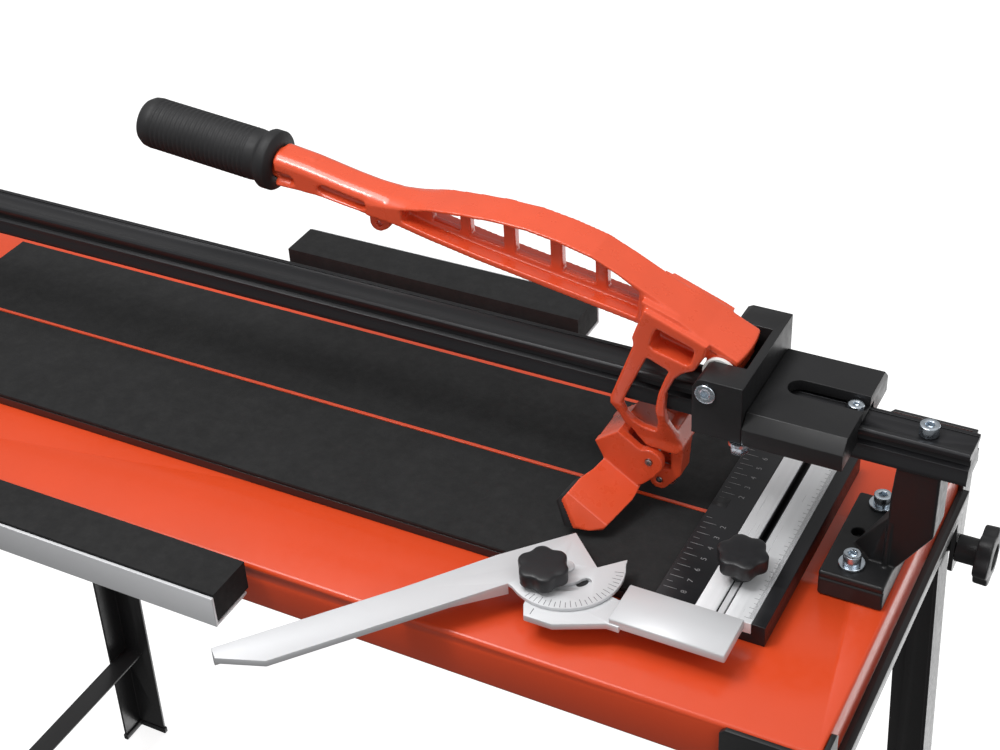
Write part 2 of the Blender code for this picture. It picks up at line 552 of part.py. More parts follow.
def build_lever():
    neck = [(16.5, 235.2), (42, 231.5), (60, 227.8), (77, 224.3), (94, 221.5), (112, 219.6), (112, 201.8),
            (95, 203), (76, 206.4), (55, 211), (42, 212), (16.5, 212.8)]
    beam = [(96, 220.6), (112, 219), (130, 219.2), (150, 220.8), (171, 222.6), (200, 224), (228, 223),
            (253, 219), (278, 213), (298, 204), (318, 194), (345, 181), (345, 158), (314, 165.5), (300, 168),
            (233, 179), (184.5, 187), (146, 194.6), (121, 200.3), (96, 203.4)]
    windows = [[(145, 204), (168, 200), (168, 219.4), (145, 218)],
               [(176.5, 198), (203, 194), (203, 221), (176.5, 220)],
               [(212.5, 192), (240, 187.5), (240, 218), (212.5, 221)],
               [(249.5, 186), (275, 182), (275, 210), (249.5, 216)],
               [(284.5, 180), (312, 175.5), (312, 191), (284.5, 204)]]
    pocket = [(126, 216), (150, 218), (171, 220), (200, 221.6), (228, 220.6), (253, 216.6), (278, 210.6),
              (298, 201.6), (314, 192), (312, 170.5), (300, 173), (233, 184), (184.5, 192), (146, 199.6),
              (126, 204.5)]
    side_pocket = arc((59.5, 218.2), 5.6, 79, 259, 6) + arc((90, 212.3), 5.6, -101, 79, 6)
    collar_pocket = [(10, 227.5), (29, 226), (33, 223), (33.5, 219), (30, 216.5), (10, 217.5)]
    head = [(318, 190), (345, 181), (362, 172), (392.5, 158.6), (391.5, 154), (367, 164), (350, 150),
            (318, 158)]
    hub = rod((PIVOT[0], -22, PIVOT[1]), (PIVOT[0], 22, PIVOT[1]), 12.0, 20)
    web = [(352, 168), (391.8, 157.2), (389.5, 150.6), (372, 152), (352, 161)]
    arm_outer = [(322, 186), (316, 170), (313, 161), (314, 155), (296, 105), (296, 99), (301, 90), (304, 80),
                 (314, 70), (348, 66), (343, 82), (339, 92), (338, 105), (339, 120), (345, 134), (351, 140.5),
                 (360, 145.5), (367.5, 158), (370, 168)]
    opening = [(324, 147), (341, 140), (338, 133), (333, 118), (331, 105), (332, 92), (329, 78), (318, 80),
               (311, 85), (307, 92), (305, 102), (309, 112)]
    upper_pocket = [(331.5, 173), (329, 168), (326.5, 158), (329, 155), (354, 148.8), (357, 150.5),
                    (359.5, 161.5), (358, 164)]
    pocket_wall = [(329.5, 176.5), (325, 168.5), (323.2, 157), (327, 151.8), (354.5, 145.6), (360.2, 148.3),
                   (362.7, 162), (360, 167.2)]
    joins = [plate(head, (-22, 22), "y"), hub, plate(web, (-20, 20), "y"),
             plate(pocket_wall, (-21.4, 21.4), "y")]
    for sign in (-1, 1):
        span = sorted((sign * 20.8, sign * 27.0))
        joins.append(slope_arm(plate(arm_outer, span, "y", holes=(opening,)), sign))
    yoke_floor = [(304, 82), (312, 69), (320, 61), (344, 59), (349, 66), (343, 80), (331, 73), (318, 76)]
    joins.append(plate(yoke_floor, (-17, 17), "y"))
    block = [(314, 66), (316, 60), (316, 57), (339, 57), (344, 62), (344, 70)]
    joins.append(plate(block, (-9.5, 9.5), "y"))
    tongue = [(336, 62), (336, 38), (316, 36)] + arc(WHEEL_AXLE, 8.0, 165, 330, 6) + [(344, 34), (346, 60)]
    joins.append(plate(tongue, (-9.5, 9.5), "y"))
    joins.append(rod(grip_point(-31), grip_point(GRIP_LENGTH - 25), 12.0, 14))
    joins.append(plate(neck, (-14.6, 14.6), "y"))
    lug = [(90, 206), (90.5, 189), (93.5, 184.5), (99, 183.3), (105.5, 187), (109, 193), (113, 203)]
    joins.append(plate(lug, (-4, 4), "y"))

    cuts = [plate(pocket, span, "y") for span in ((-20, -3.5), (3.5, 20))]
    cuts += [plate(window, (-30, 30), "y") for window in windows]
    for outline in (side_pocket, collar_pocket):
        cuts += [plate(outline, span, "y") for span in ((-20, -8.5), (8.5, 20))]
    cuts += [plate(upper_pocket, span, "y") for span in ((-30, -10), (10, 30))]
    cuts.append(rod((98.5, -10, 190), (98.5, 10, 190), 2.6, 10))
    cuts.append(rod((PIVOT[0], -40, PIVOT[1]), (PIVOT[0], 40, PIVOT[1]), 7.5, 16))
    cuts.append(rod((WHEEL_AXLE[0], -20, WHEEL_AXLE[1]), (WHEEL_AXLE[0], 20, WHEEL_AXLE[1]), 2.8, 12))
    cuts.append(box((300, 339.5), (-2.2, 2.2), (10, 40)))
    add_piece("lever_casting", plate(beam, (-16, 16), "y"), "red_enamel", "lever", join=joins, cut=cuts)

    end = GRIP_LENGTH
    profile = [(0, end), (12, end), (18, end - 4), (20, end - 12), (20, 25), (19, 13), (23, 11), (23, 3),
               (17, 0), (12.4, 0), (12.4, end - 12), (0, end - 12)]
    back = grip_point(1) - grip_point(0)
    add_piece("grip", turned(profile, grip_point(0), back), "rubber", "lever")

    axle = [(0, 9.3), (2.5, 9.3), (2.5, -9.3), (0, -9.3)]
    add_piece("wheel_axle", turned(axle, (WHEEL_AXLE[0], 0, WHEEL_AXLE[1]), (0, 1, 0), sides=12), "steel",
              "lever")
    wheel = [(2.9, 1.5), (9.0, 1.5), (11.0, 0), (9.0, -1.5), (2.9, -1.5), (2.9, 1.5)]
    disc = turned(wheel, (WHEEL_AXLE[0], 0, WHEEL_AXLE[1]), (0, 1, 0), sides=24)
    add_piece("scoring_wheel", disc, "steel", "wheel")


# ---------------------------------------------------------------- breaker foot
WING_BASE = -25.5    # height of a wing's upper face where it leaves the side plate
WING_START = 19.5    # the outer face of the side plates, from the cutting line
WING_FOLD = 58.8     # where the lip along a wing's outer edge starts
WING_FALL = 0.334    # how far a wing falls for each millimetre outwards
LIP_FALL = 1.6       # the same for its lip
TILE_CLEARANCE = 7.5


def on_foot(bm):
    """Places a shape made in the foot's own level frame: from the pin, x along the foot and z up."""
    place = Matrix.Translation((FOOT_PIN[0], 0, FOOT_PIN[1])) @ Matrix.Rotation(FOOT_TILT, 4, "Y")
    bmesh.ops.transform(bm, matrix=place, verts=bm.verts)
    return bm


def wing(sign, outline, top, bottom):
    """A plate with a turned-down lip: the outline holds (x, distance from the cutting line)."""
    bm = plate([(x, sign * y) for x, y in outline], (WING_BASE + bottom, WING_BASE + top))
    bmesh.ops.bisect_plane(bm, geom=bm.verts[:] + bm.edges[:] + bm.faces[:], dist=1e-4,
                           plane_co=(0, sign * WING_FOLD, 0), plane_no=(0, 1, 0))
    for vert in bm.verts:
        out = abs(vert.co.y)
        vert.co.z -= WING_FALL * (out - WING_START) + (LIP_FALL - WING_FALL) * max(0.0, out - WING_FOLD)
    return on_foot(bm)


def tile_space():
    """Where the tile is: nothing of the foot reaches into it."""
    return box((240, 360), (-90, 90), (-60, TILE_CLEARANCE))


def build_foot():
    outline = [(-25.4, 16), (-27, 31), (-30.5, 42.6), (-31.3, 61), (-10, 67), (-1, 65), (6.5, 60), (10, 30),
               (8.1, 16)]
    side_plate = [(-26, WING_BASE - 0.7), (6, WING_BASE - 0.7), (8.5, -21), (10.8, -8)]
    side_plate += arc((0, 0), 11.0, -20, 155, 10)
    side_plate += [(-13, 4), (-32, 4), (-40, -18)]
    bridge = [(-25.7, WING_BASE), (-21, WING_BASE), (-21, 3.7), (-31.8, 3.7), (-39.4, -17.8)]
    joins = [wing(sign, outline, 0, -5) for sign in (-1, 1)]
    joins += [on_foot(plate(side_plate, span, "y")) for span in ((-WING_START, -12.8), (12.8, WING_START))]
    cuts = [rod((FOOT_PIN[0], -30, FOOT_PIN[1]), (FOOT_PIN[0], 30, FOOT_PIN[1]), 3.0, 12),
            box((303.5, 360), (-12.3, 12.3), (0, 90)), tile_space()]
    add_piece("breaker_foot", on_foot(plate(bridge, (-13.5, 13.5), "y")), "red_enamel", "foot", join=joins,
              cut=cuts)
    sole = [(-28.5, 33), (-32.5, 44), (-33.6, 61), (-12, 68.5), (-4, 66), (4, 58), (7, 34)]
    for side, sign in (("front", -1), ("rear", 1)):
        add_piece(f"foot_sole_{side}", wing(sign, sole, -5.3, -8.3), "rubber", "foot", cut=[tile_space()])
    pin = [(0, 20.5), (2.7, 20.5), (2.7, -20.5), (0, -20.5)]
    add_piece("foot_pin", turned(pin, (FOOT_PIN[0], 0, FOOT_PIN[1]), (0, 1, 0), sides=12), "steel", "lever")


# ---------------------------------------------------------------- pull-out side supports
def build_arm(side, sign, arm_x):
    body = f"{side}_arm"
    near, far = ARM_Y
    trim = 2.5
    rods = rod_positions(arm_x)
    bar_y = sorted((sign * near, sign * (far - trim - GAP)))
    cuts = [rod((x, sign * (near - 5), ROD_Z), (x, sign * (near + 26), ROD_Z), 4.4, 12) for x in rods]
    add_piece(f"{side}_arm_bar", box(arm_x, bar_y, (ARM_BOTTOM + trim + GAP, 0)), "foam", body, cut=cuts,
              bevel=1.0)
    outline = [(sign * far, ARM_BOTTOM), (sign * far, -2.0), (sign * (far - trim), -2.0),
               (sign * (far - trim), ARM_BOTTOM + trim), (sign * (near + 4), ARM_BOTTOM + trim),
               (sign * (near + 4), ARM_BOTTOM)]
    add_piece(f"{side}_arm_trim", plate(outline, arm_x, "x"), "grey_enamel", body)
    curve = bpy.data.curves.new("guide", "CURVE")
    curve.dimensions = "3D"
    curve.bevel_depth = 4.0
    curve.bevel_resolution = 2
    curve.use_fill_caps = True
    spline = curve.splines.new("POLY")
    inner, bend = 52.0, 10.0
    start, end = rods
    path = [(start, near + 24), (start, inner + bend), (start + bend, inner), (end - bend, inner),
            (end, inner + bend), (end, near + 24)]
    spline.points.add(len(path) - 1)
    for point, (x, y) in zip(spline.points, path):
        point.co = (x, sign * y, ROD_Z, 1.0)
    obj = bpy.data.objects.new("guide", curve)
    bpy.context.scene.collection.objects.link(obj)
    bm = evaluated_bmesh(obj)
    bpy.data.curves.remove(curve)
    add_piece(f"{side}_arm_guide_rod", bm, "zinc", body)


# ---------------------------------------------------------------- folding stand
def build_bracket(end):
    """The welded end bracket: a corner plate at the front and the rear, joined by a bar under the skirt."""
    shape_of = (lambda bm: bm) if end == "right" else flip_x
    inner_x, outer_x = BASE_X[1] + GAP, BASE_X[1] + 4.1
    inner_y, outer_y = BASE_Y + GAP, BASE_Y + 4.1
    low = BRACKET_BOTTOM[end]
    joins = []
    cuts = []
    for sign, high in ((-1, FRONT_RIM), (1, REAR_RIM[end])):
        side = [(446, high - 4), (450, high), (outer_x, high), (outer_x, low), (470, low), (446, low + 40)]
        rim = [(156, high - 4), (160, high), (outer_y, high), (outer_y, low), (160, low), (156, low + 4)]
        joins.append(plate(side, sorted((sign * inner_y, sign * outer_y)), "y"))
        joins.append(plate([(sign * y, z) for y, z in rim], (inner_x, outer_x), "x"))
        cuts.append(rod((HINGE_X, sign * (inner_y - 4), HINGE_Z[end]), (HINGE_X, sign * (outer_y + 4),
                        HINGE_Z[end]), 4.4, 12))
        cuts.append(rod((inner_x - 4, sign * KNOB_Y, KNOB_Z[end]), (outer_x + 4, sign * KNOB_Y, KNOB_Z[end]),
                        4.4, 12))
    bar = box((inner_x, 522), (-160, 160), (-60, -48))
    add_piece(f"{end}_end_bracket", shape_of(bar), "black_enamel", "base",
              join=[shape_of(bm) for bm in joins], cut=[shape_of(bm) for bm in cuts])


def angle_section(x, y, sign, wide=LEG_FLANGE, thick=LEG_SHEET):
    """An angle profile with its outer corner at (x, y) and its flanges towards -x and the middle."""
    return [(x, y), (x - wide[0], y), (x - wide[0], y - sign * thick), (x - thick, y - sign * thick),
            (x - thick, y - sign * wide[1]), (x, y - sign * wide[1])]


def slanted(outline, low, high, shift):
    """A prism between two heights whose lower end is moved by shift along x."""
    bm = plate(outline, (low, high))
    middle = (low + high) / 2
    for vert in bm.verts:
        if vert.co.z < middle:
            vert.co.x += shift
    return bm


def build_stand(end):
    shape_of = (lambda bm: bm) if end == "right" else flip_x
    body = f"{end}_stand"
    top = HINGE_Z[end] + 12
    outer = HINGE_X + 21
    leg_end = FLOOR + 8.3
    shift = LEG_SPLAY * (top - leg_end)
    brace_x = outer + LEG_SPLAY * (top - BRACE_TOP)
    legs = [slanted(angle_section(outer, sign * LEG_Y, sign), leg_end, top, shift) for sign in (-1, 1)]
    brace = [(brace_x - 2, BRACE_TOP), (brace_x - 27, BRACE_TOP), (brace_x - 27, BRACE_TOP - 3),
             (brace_x - 5, BRACE_TOP - 3), (brace_x - 5, BRACE_TOP - 28), (brace_x - 2, BRACE_TOP - 28)]
    joins = [shape_of(legs[1]), shape_of(plate(brace, (-LEG_Y + 2, LEG_Y - 2), "y"))]
    cuts = []
    for sign in (-1, 1):
        cuts.append(shape_of(rod((HINGE_X, sign * (LEG_Y - 8), HINGE_Z[end]),
                                 (HINGE_X, sign * (LEG_Y + 5), HINGE_Z[end]), 4.4, 12)))
    add_piece(f"{end}_leg_frame", shape_of(legs[0]), "black_enamel", body, join=joins, cut=cuts)
    foot_x = outer + shift
    for side, sign in (("front", -1), ("rear", 1)):
        outline = angle_section(foot_x + 1.5, sign * (LEG_Y + 1.5), sign, (43, 35), 6)
        add_piece(f"foot_cap_{end}_{side}", shape_of(plate(outline, (FLOOR, FLOOR + 8))), "plastic", body)
        x = HINGE_X if end == "right" else 2 * MID_X - HINGE_X
        head = BASE_Y + 4.1 + GAP
        collar = BASE_Y
        profile = [(0, 4), (5, 4), (8, 1.5), (8, 0), (4, 0), (4, collar - head), (8, collar - head),
                   (8, LEG_Y + GAP - head), (4, LEG_Y + GAP - head), (4, -16), (0, -16)]
        add_piece(f"hinge_bolt_{end}_{side}", turned(profile, (x, sign * head, HINGE_Z[end]),
                  (0, sign, 0), sides=12), "zinc", "base")
        way = 1 if end == "right" else -1
        plate_face = BASE_X[1] + 4.1 + GAP
        knob_x = plate_face if end == "right" else 2 * MID_X - plate_face
        leg_face = outer + LEG_SPLAY * (top - KNOB_Z[end] + 8)
        star_knob(f"lock_knob_{end}_{side}", (knob_x, sign * KNOB_Y, KNOB_Z[end]), (way, 0, 0), 25.0,
                  (11.5, 18.0), (4.0, plate_face - leg_face - GAP), f"lock_knob_{end}_{side}")


# ---------------------------------------------------------------- origin
def rest_on_origin():
    """Moves the root so that the bounding box's bottom centre is the origin."""
    bpy.context.view_layer.update()
    depsgraph = bpy.context.evaluated_depsgraph_get()
    low = Vector((1e9, 1e9, 1e9))
    high = -low
    for obj in PARTS.objects:
        if obj.type != "MESH":
            continue
        for corner in obj.evaluated_get(depsgraph).bound_box:
            point = obj.matrix_world @ Vector(corner)
            low = Vector(map(min, low, point))
            high = Vector(map(max, high, point))
    BODIES["base"][0].location = (-(low.x + high.x) / 2, -(low.y + high.y) / 2, -low.z)
    bpy.context.view_layer.update()


build_bodies()
build_base()
build_rail()
build_ruler()
build_slider()
build_fence()
build_carriage()
build_lever()
build_foot()
build_arm("front", -1, FRONT_ARM_X)
build_arm("rear", 1, REAR_ARM_X)
for stand_end in ("right", "left"):
    build_support(stand_end)
    build_bracket(stand_end)
    build_stand(stand_end)
rest_on_origin()
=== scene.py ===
"""The looks of the folding-stand tile cutter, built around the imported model.

Shapes are written in the machine's own millimetres, as in part.py: x along the cutting line, y across it
(the user stands at -y) and z = 0 on the table pads. PLACE turns them into the frame's metres.
"""
import json
import math

import bmesh
import bpy
from mathutils import Matrix, Vector, noise


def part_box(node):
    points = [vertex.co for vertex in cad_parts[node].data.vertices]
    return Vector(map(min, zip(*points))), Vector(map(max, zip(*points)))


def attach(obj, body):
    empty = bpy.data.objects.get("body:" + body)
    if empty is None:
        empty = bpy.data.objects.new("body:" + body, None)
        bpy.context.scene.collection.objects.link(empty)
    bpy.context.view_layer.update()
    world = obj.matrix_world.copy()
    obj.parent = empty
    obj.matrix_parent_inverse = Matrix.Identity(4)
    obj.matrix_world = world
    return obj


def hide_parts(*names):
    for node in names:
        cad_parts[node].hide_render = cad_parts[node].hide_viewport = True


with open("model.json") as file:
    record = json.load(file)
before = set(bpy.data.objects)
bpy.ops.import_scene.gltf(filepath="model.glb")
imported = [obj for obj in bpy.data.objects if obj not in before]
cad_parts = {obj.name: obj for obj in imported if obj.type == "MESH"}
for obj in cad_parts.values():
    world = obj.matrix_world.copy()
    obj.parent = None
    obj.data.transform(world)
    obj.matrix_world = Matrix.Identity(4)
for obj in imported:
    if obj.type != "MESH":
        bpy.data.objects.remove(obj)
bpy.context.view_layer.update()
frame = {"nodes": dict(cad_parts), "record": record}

MM = 0.001
MID_X = 31.6                      # middle of the machine along its rail, in its own millimetres
RAIL_LOW, RAIL_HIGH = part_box("guide_rail")
PAD_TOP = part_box("front_table_pad")[1].z
ORIGIN = Vector(((RAIL_LOW.x + RAIL_HIGH.x) / 2 - MID_X * MM, (RAIL_LOW.y + RAIL_HIGH.y) / 2, PAD_TOP))
PLACE = Matrix.Translation(ORIGIN) @ Matrix.Diagonal((MM, MM, MM, 1.0))
BODY_OF = {node: body for body, nodes in frame["record"]["behaviour"]["bodies"].items() for node in nodes}
SLOT_OF = {part["node"]: part["material_slot"] for part in frame["record"]["subparts"]}
Y, Z = Vector((0, 1, 0)), Vector((0, 0, 1))


def local(point):
    """A point of the frame, in the machine's millimetres."""
    return (Vector(point) - ORIGIN) / MM


def local_box(node):
    low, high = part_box(node)
    return local(low), local(high)


# ---------------------------------------------------------------- materials
def tree_of(name):
    made = bpy.data.materials.new(name)
    made.use_nodes = True
    return made, made.node_tree, made.node_tree.nodes["Principled BSDF"]


def noise_node(tree, vector, scale, detail=3.0, rough=0.55):
    node = tree.nodes.new("ShaderNodeTexNoise")
    node.inputs["Scale"].default_value = scale
    node.inputs["Detail"].default_value = detail
    node.inputs["Roughness"].default_value = rough
    tree.links.new(vector, node.inputs["Vector"])
    return node.outputs["Fac"]


def spread(tree, value, low, high, start=0.3, end=0.7):
    """Maps a noise value to a range."""
    node = tree.nodes.new("ShaderNodeMapRange")
    for name, number in (("From Min", start), ("From Max", end), ("To Min", low), ("To Max", high)):
        node.inputs[name].default_value = number
    tree.links.new(value, node.inputs["Value"])
    return node.outputs["Result"]


def mixed(tree, factor, first, second):
    node = tree.nodes.new("ShaderNodeMix")
    node.data_type = "RGBA"
    tree.links.new(factor, node.inputs["Factor"])
    for socket, colour in (("A", first), ("B", second)):
        found = [s for s in node.inputs if s.name == socket and s.type == "RGBA"][0]
        if isinstance(colour, (tuple, list)):
            found.default_value = (*colour, 1.0)
        else:
            tree.links.new(colour, found)
    return [s for s in node.outputs if s.type == "RGBA"][0]


def shade(colour, amount):
    return tuple(min(1.0, c * amount) for c in colour)


def surface(name, colour, roughness, metallic=0.0, vary=0.06, patch=22.0, stretch=(1, 1, 1), grain=1400.0,
            bump=0.1, depth=0.05, rough_vary=0.06, coat=0.0, coat_rough=0.15, specular=0.5, cells=False,
            dust=0.0):
    """A painted, moulded or metal surface: soft colour patches, uneven gloss and a fine relief.

    patch and grain are per metre; stretch draws both out along an axis; depth is in millimetres;
    dust adds a pale film in the patches of a broad noise."""
    made, tree, shader = tree_of(name)
    coords = tree.nodes.new("ShaderNodeTexCoord")
    mapping = tree.nodes.new("ShaderNodeMapping")
    mapping.inputs["Scale"].default_value = stretch
    tree.links.new(coords.outputs["Object"], mapping.inputs["Vector"])
    vector = mapping.outputs["Vector"]
    broad = noise_node(tree, vector, patch)
    tone = mixed(tree, spread(tree, broad, 0.0, 1.0), shade(colour, 1 - vary), shade(colour, 1 + vary))
    if dust:
        film = noise_node(tree, vector, patch * 2.3, 6.0, 0.7)
        tone = mixed(tree, spread(tree, film, 0.0, dust, 0.45, 0.8), tone, (0.55, 0.54, 0.52))
    tree.links.new(tone, shader.inputs["Base Color"])
    fine = noise_node(tree, vector, grain * 0.2, 4.0)
    gloss = spread(tree, fine, roughness - rough_vary, roughness + rough_vary)
    tree.links.new(gloss, shader.inputs["Roughness"])
    if cells:
        relief_node = tree.nodes.new("ShaderNodeTexVoronoi")
        relief_node.inputs["Scale"].default_value = grain
        tree.links.new(vector, relief_node.inputs["Vector"])
        relief = relief_node.outputs["Distance"]
    else:
        relief = noise_node(tree, vector, grain, 2.0)
    bump_node = tree.nodes.new("ShaderNodeBump")
    bump_node.inputs["Strength"].default_value = bump
    bump_node.inputs["Distance"].default_value = depth * MM
    tree.links.new(relief, bump_node.inputs["Height"])
    tree.links.new(bump_node.outputs["Normal"], shader.inputs["Normal"])
    shader.inputs["Metallic"].default_value = metallic
    shader.inputs["Coat Weight"].default_value = coat
    shader.inputs["Coat Roughness"].default_value = coat_rough
    shader.inputs["Specular IOR Level"].default_value = specular
    return made


RED = (0.66, 0.062, 0.0135)
CAST_RED = (0.73, 0.082, 0.026)
BLACK = (0.012, 0.012, 0.0128)
FINISH = {
    "red_enamel": surface("powder_coat_red", RED, 0.34, vary=0.03, patch=9, grain=900, bump=0.12, depth=0.04,
                          coat=0.2),
    "cast_red": surface("cast_red", CAST_RED, 0.3, vary=0.04, patch=30, grain=420, bump=0.12, depth=0.08,
                        coat=0.45, coat_rough=0.14),
    "black_enamel": surface("enamel_black", BLACK, 0.36, vary=0.12, patch=14, grain=1100, bump=0.14,
                            depth=0.04, coat=0.15),
    "cast_black": surface("cast_black", BLACK, 0.42, vary=0.12, patch=26, grain=700, bump=0.2, depth=0.08,
                          specular=0.35),
    "black_anodised": surface("anodised_black", (0.016, 0.016, 0.018), 0.36, metallic=0.35, vary=0.15,
                              patch=30, stretch=(0.04, 1, 1), grain=1500, bump=0.18, depth=0.03),
    "foam": surface("foam_black", (0.0128, 0.0128, 0.0132), 0.82, vary=0.14, patch=35, grain=900, bump=0.35,
                    depth=0.14, cells=True, specular=0.3, dust=0.012),
    "rubber": surface("rubber_black", (0.014, 0.014, 0.015), 0.6, vary=0.1, patch=40, grain=1200, bump=0.3,
                      depth=0.06, specular=0.4),
    "plastic": surface("plastic_black", (0.0125, 0.0125, 0.014), 0.42, vary=0.1, patch=60, grain=1600,
                       bump=0.22, depth=0.05),
    "cast_grey": surface("coated_grey", (0.625, 0.63, 0.645), 0.42, metallic=0.15, vary=0.02, patch=18,
                         grain=800, bump=0.14, depth=0.05),
    "aluminium": surface("extruded_aluminium", (0.76, 0.77, 0.785), 0.36, metallic=0.3, vary=0.05, patch=120,
                         stretch=(1, 0.03, 1), grain=2200, bump=0.16, depth=0.02, rough_vary=0.1),
    "zinc": surface("bright_zinc", (0.60, 0.66, 0.72), 0.24, metallic=1.0, vary=0.08, patch=240, grain=2400,
                    bump=0.12, depth=0.02),
    "steel": surface("ground_steel", (0.45, 0.45, 0.46), 0.28, metallic=1.0, vary=0.08, patch=200,
                     grain=2400, bump=0.15, depth=0.02),
    "nylon": surface("nylon_white", (0.74, 0.74, 0.72), 0.45, vary=0.03, patch=60, grain=1500, bump=0.1,
                     depth=0.03),
}
INK_WHITE = surface("ink_white", (0.18, 0.18, 0.185), 0.5, vary=0.25, patch=300, grain=2000, bump=0.05)
INK_DARK = surface("ink_dark", (0.12, 0.12, 0.13), 0.5, vary=0.2, patch=300, grain=2000, bump=0.05)


# ---------------------------------------------------------------- placing pieces
def piece(name, mesh, body, finish, node=None, smooth=32):
    """Adds a mesh that is already in the frame's metres, and lets it ride on its body."""
    obj = bpy.data.objects.new(name, mesh)
    bpy.context.scene.collection.objects.link(obj)
    mesh.materials.clear()
    mesh.materials.append(finish if isinstance(finish, bpy.types.Material) else FINISH[finish])
    mesh.shade_smooth()
    if smooth:
        mesh.set_sharp_from_angle(angle=math.radians(smooth))
    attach(obj, body)
    if node:
        for replaced in [node] if isinstance(node, str) else node:
            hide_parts(replaced)
    return obj


def from_bmesh(name, bm, body, finish, node=None, smooth=32, place=None):
    """Adds a shape made in the machine's millimetres."""
    bmesh.ops.recalc_face_normals(bm, faces=bm.faces)
    bmesh.ops.transform(bm, matrix=PLACE @ (place or Matrix.Identity(4)), verts=bm.verts)
    mesh = bpy.data.meshes.new(name)
    bm.to_mesh(mesh)
    bm.free()
    return piece(name, mesh, body, finish, node, smooth)


def settle(obj):
    """Turns an object's modifiers into mesh."""
    depsgraph = bpy.context.evaluated_depsgraph_get()
    mesh = bpy.data.meshes.new_from_object(obj.evaluated_get(depsgraph))
    obj.modifiers.clear()
    obj.data = mesh
    return obj


def cleaned(node):
    """A copy of a CAD node's mesh with its coplanar triangles joined."""
    bm = bmesh.new()
    bm.from_mesh(frame["nodes"][node].data)
    bmesh.ops.remove_doubles(bm, verts=bm.verts, dist=1e-6)
    bmesh.ops.dissolve_limit(bm, angle_limit=math.radians(0.8), verts=bm.verts, edges=bm.edges)
    mesh = bpy.data.meshes.new(node + "_fine")
    bm.to_mesh(mesh)
    bm.free()
    return mesh


def machined(node, bevel=0.5, segments=2, angle=38):
    """A folded, extruded or machined piece: the CAD shape with its edges rounded."""
    obj = piece(node + "_fine", cleaned(node), BODY_OF[node], SLOT_OF[node], node, smooth=0)
    rounding = obj.modifiers.new("edges", "BEVEL")
    rounding.width = bevel * MM
    rounding.segments = segments
    rounding.limit_method = "ANGLE"
    rounding.angle_limit = math.radians(angle)
    rounding.use_clamp_overlap = False
    rounding.harden_normals = True
    rounding.miter_outer = "MITER_ARC"
    return settle(obj)


def cast(node, voxel=0.8, passes=6):
    """A cast piece: the CAD shape with every edge melted round, as a sand or die casting has."""
    obj = piece(node + "_fine", cleaned(node), BODY_OF[node], SLOT_OF[node], node, smooth=0)
    grid = obj.modifiers.new("grid", "REMESH")
    grid.mode = "VOXEL"
    grid.voxel_size = voxel * MM
    melt = obj.modifiers.new("melt", "SMOOTH")
    melt.iterations = passes
    settle(obj)
    obj.data.shade_smooth()
    return obj


def lathe(rings, sides=48, closed=False):
    """Rings of (radius, height) about +Z, from the bottom up; a radius can be a function of the angle."""
    bm = bmesh.new()
    loops = []
    for radius, height in rings:
        if radius == 0:
            loops.append([bm.verts.new((0, 0, height))] * sides)
            continue
        loop = []
        for i in range(sides):
            turn = 2 * math.pi * i / sides
            r = radius(turn) if callable(radius) else radius
            loop.append(bm.verts.new((r * math.cos(turn), r * math.sin(turn), height)))
        loops.append(loop)
    pairs = list(zip(loops, loops[1:])) + ([(loops[-1], loops[0])] if closed else [])
    for lower, upper in pairs:
        for i in range(sides):
            j = (i + 1) % sides
            corners = []
            for vert in (lower[i], lower[j], upper[j], upper[i]):
                if vert not in corners:
                    corners.append(vert)
            if len(corners) > 2:
                bm.faces.new(corners)
    return bm


def along(base, axis):
    """Stands a shape made about +Z on a point, along an axis."""
    return Matrix.Translation(Vector(base)) @ Vector(axis).to_track_quat("Z", "Y").to_matrix().to_4x4()


def hexagon(across):
    """The radius of a hexagon, by its width across the flats."""
    def radius(turn):
        return across / 2 / math.cos((turn % (math.pi / 3)) - math.pi / 6)
    return radius


def lobes(radius, depth, count=6):
    """The radius of a star knob's outline."""
    def at_angle(turn):
        return radius - depth * (0.5 - 0.5 * math.cos(count * turn)) ** 1.3
    return at_angle


def box_shape(x, y, z):
    bm = bmesh.new()
    low, high = Vector((x[0], y[0], z[0])), Vector((x[1], y[1], z[1]))
    place = Matrix.Translation((low + high) / 2) @ Matrix.Diagonal((*(high - low), 1.0))
    bmesh.ops.create_cube(bm, size=1.0, matrix=place)
    return bm


def merged(shapes):
    """Several shapes in one mesh."""
    mesh = bpy.data.meshes.new("merged")
    bm = bmesh.new()
    for shape in shapes:
        shape.to_mesh(mesh)
        shape.free()
        bm.from_mesh(mesh)
    bpy.data.meshes.remove(mesh)
    return bm


# ---------------------------------------------------------------- screws, bolts and knobs
KNOB_HEAD = 13.0      # height of a star knob's head
LOBE_DEPTH = 0.14     # depth of the hollows between its lobes, as a share of its radius


def cap_head(radius, top, bottom=0.0, socket=6.0, sink=4.0):
    """Rings of a socket cap head, from its bottom edge up, over the rim and down into the hexagon socket."""
    edge = 0.7
    return [(radius - 0.25, bottom), (radius, bottom + 0.25), (radius, top - edge), (radius - 0.2, top - 0.3),
            (radius - edge, top), (socket * 0.5 + 0.75, top), (hexagon(socket), top - 0.35),
            (hexagon(socket), top - sink), (0, top - sink - 0.9)]


